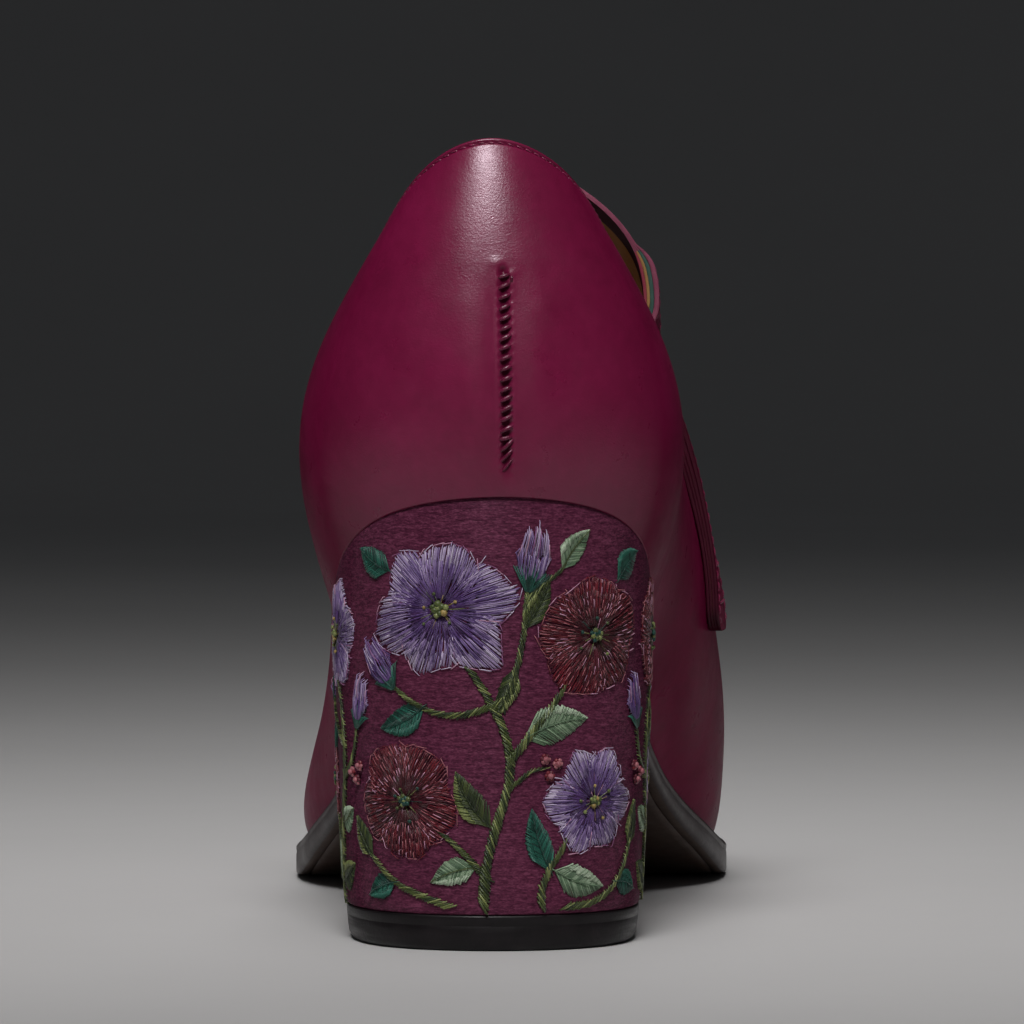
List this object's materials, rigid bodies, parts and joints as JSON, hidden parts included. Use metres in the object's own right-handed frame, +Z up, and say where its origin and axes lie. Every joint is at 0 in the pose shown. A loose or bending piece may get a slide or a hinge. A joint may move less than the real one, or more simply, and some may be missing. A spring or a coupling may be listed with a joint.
{
  "type": "block heel button shoe",
  "caption": "Left women's strap shoe with a high rounded counter, open throat, almond toe, layered instep strap fastened by a button, thin sole and a satin covered block heel.",
  "frame": {"origin": "bottom centre of the bounding box, on the floor", "axes": "+Z up, toe along +Y, medial (inner) side at +X"},
  "size_m": [0.0814, 0.2316, 0.134],
  "materials": {
    "upper": "smooth semi-gloss burgundy leather, tan lining",
    "insole": "matt tan leather",
    "outsole": "dark dyed leather, smooth edge",
    "heel_block": "plum satin with raised thread embroidery",
    "heel_top_piece": "dark, slightly glossy lift",
    "strap": "burgundy leather with a layered, coloured cut edge",
    "button": "leather covered dome"
  },
  "bodies": {
    "root": {"upper": "upper", "insole": "insole", "outsole": "outsole", "heel_block": "heel_block", "heel_top_piece": "heel_top_piece", "strap": "strap", "button": "button"}
  },
  "joints": []
}
